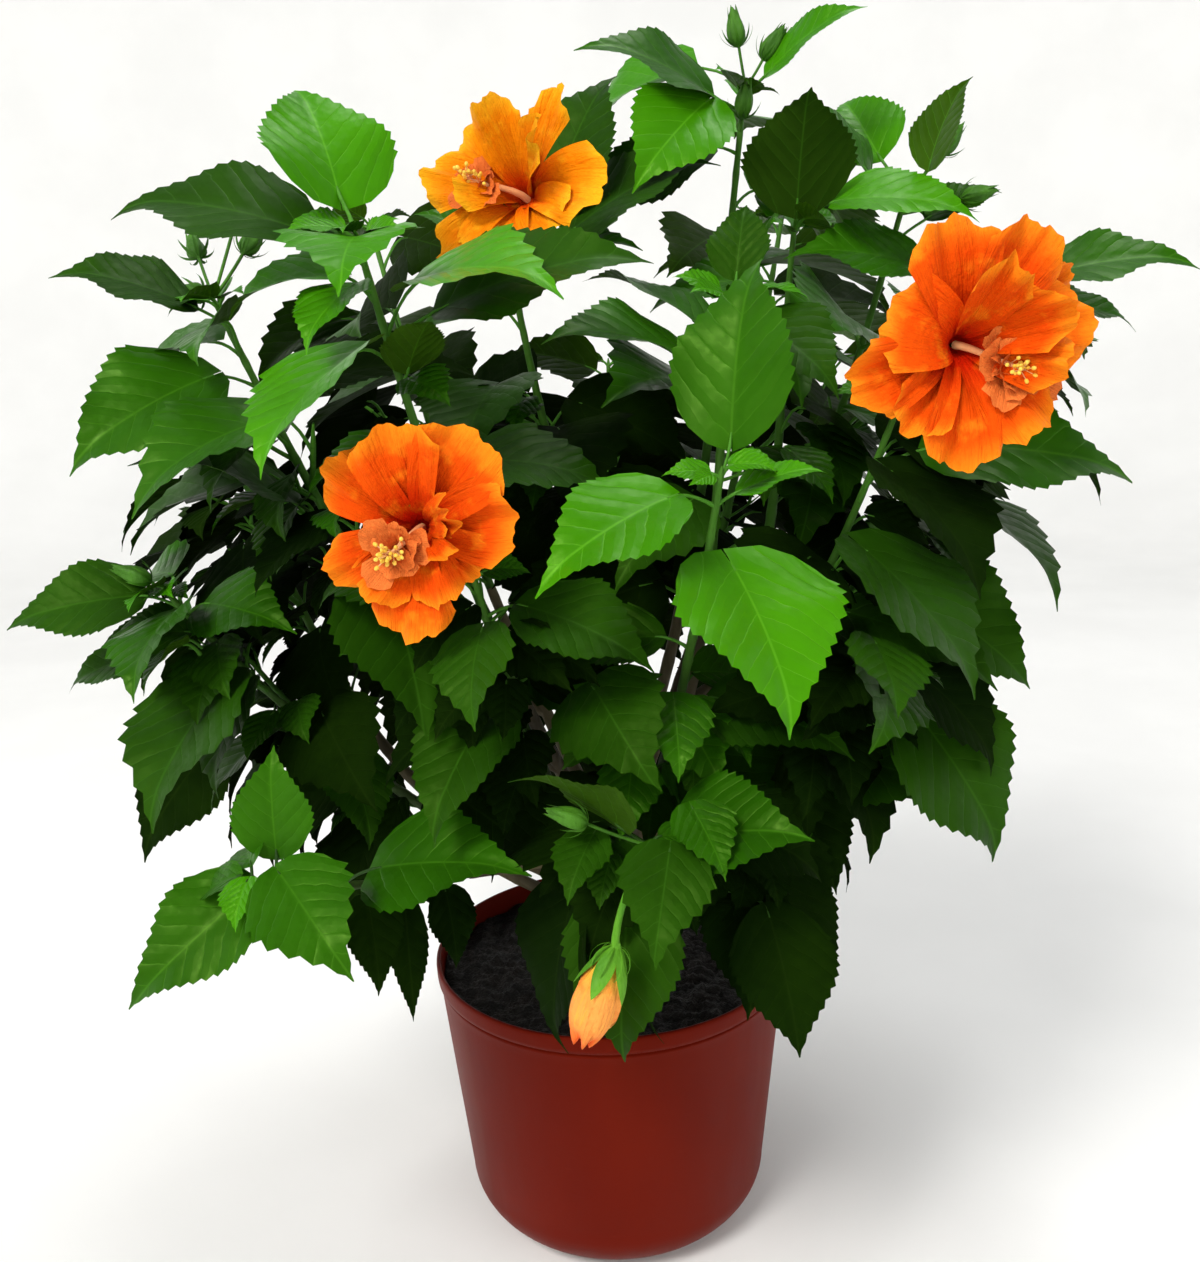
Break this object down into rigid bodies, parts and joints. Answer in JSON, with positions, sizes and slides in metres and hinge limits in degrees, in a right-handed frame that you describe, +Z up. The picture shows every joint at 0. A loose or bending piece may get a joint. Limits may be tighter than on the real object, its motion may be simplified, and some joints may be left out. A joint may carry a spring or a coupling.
{
  "type": "potted hibiscus shrub",
  "caption": "Bushy flowering hibiscus shrub with glossy toothed leaves, orange double blooms and buds, growing in a round tapered plastic nursery pot.",
  "frame": {"origin": "middle of the pot's flat underside, on the pot's axis", "axes": "+Z up along the pot's axis; -Y towards the side that most of the open blooms face; +X to the right seen from that side"},
  "size_m": [0.6957, 0.5753, 0.8264],
  "materials": {
    "pot_plastic": "satin terracotta-coloured moulded plastic",
    "potting_mix": "dark crumbly potting mix",
    "bark": "thin brown-green bark",
    "foliage": "glossy leaves on green twigs",
    "petals": "soft veined orange petals"
  },
  "bodies": {
    "root": {"pot": "pot_plastic", "potting_soil": "potting_mix", "main_stem": "bark", "bough_back": "bark", "bough_back_left": "bark", "bough_back_left_tall": "bark", "bough_back_low_left": "bark", "bough_back_low_right": "bark", "bough_back_right": "bark", "bough_back_right_tall": "bark", "bough_centre": "bark", "bough_front": "bark", "bough_front_low": "bark", "bough_left_front": "bark", "bough_left_mid": "bark", "bough_left_side": "bark", "bough_left_tall": "bark", "bough_left_upper": "bark", "bough_low_left": "bark", "bough_low_left_side": "bark", "bough_low_right": "bark", "bough_low_right_side": "bark", "bough_right_front": "bark", "bough_right_mid": "bark", "bough_right_outer": "bark", "bough_top": "bark", "bough_top_front": "bark", "bough_top_left": "bark", "bough_top_right": "bark", "foliage_back": "foliage", "foliage_back_left": "foliage", "foliage_back_left_tall": "foliage", "foliage_back_low_left": "foliage", "foliage_back_low_right": "foliage", "foliage_back_right": "foliage", "foliage_back_right_tall": "foliage", "foliage_centre": "foliage", "foliage_front": "foliage", "foliage_front_low": "foliage", "foliage_left_front": "foliage", "foliage_left_mid": "foliage", "foliage_left_side": "foliage", "foliage_left_tall": "foliage", "foliage_left_upper": "foliage", "foliage_low_left": "foliage", "foliage_low_left_side": "foliage", "foliage_low_right": "foliage", "foliage_low_right_side": "foliage", "foliage_right_front": "foliage", "foliage_right_mid": "foliage", "foliage_right_outer": "foliage", "foliage_top": "foliage", "foliage_top_front": "foliage", "foliage_top_left": "foliage", "foliage_top_right": "foliage", "bloom_left": "petals", "bloom_right": "petals", "bloom_top": "petals", "opening_bud": "petals"}
  },
  "joints": []
}
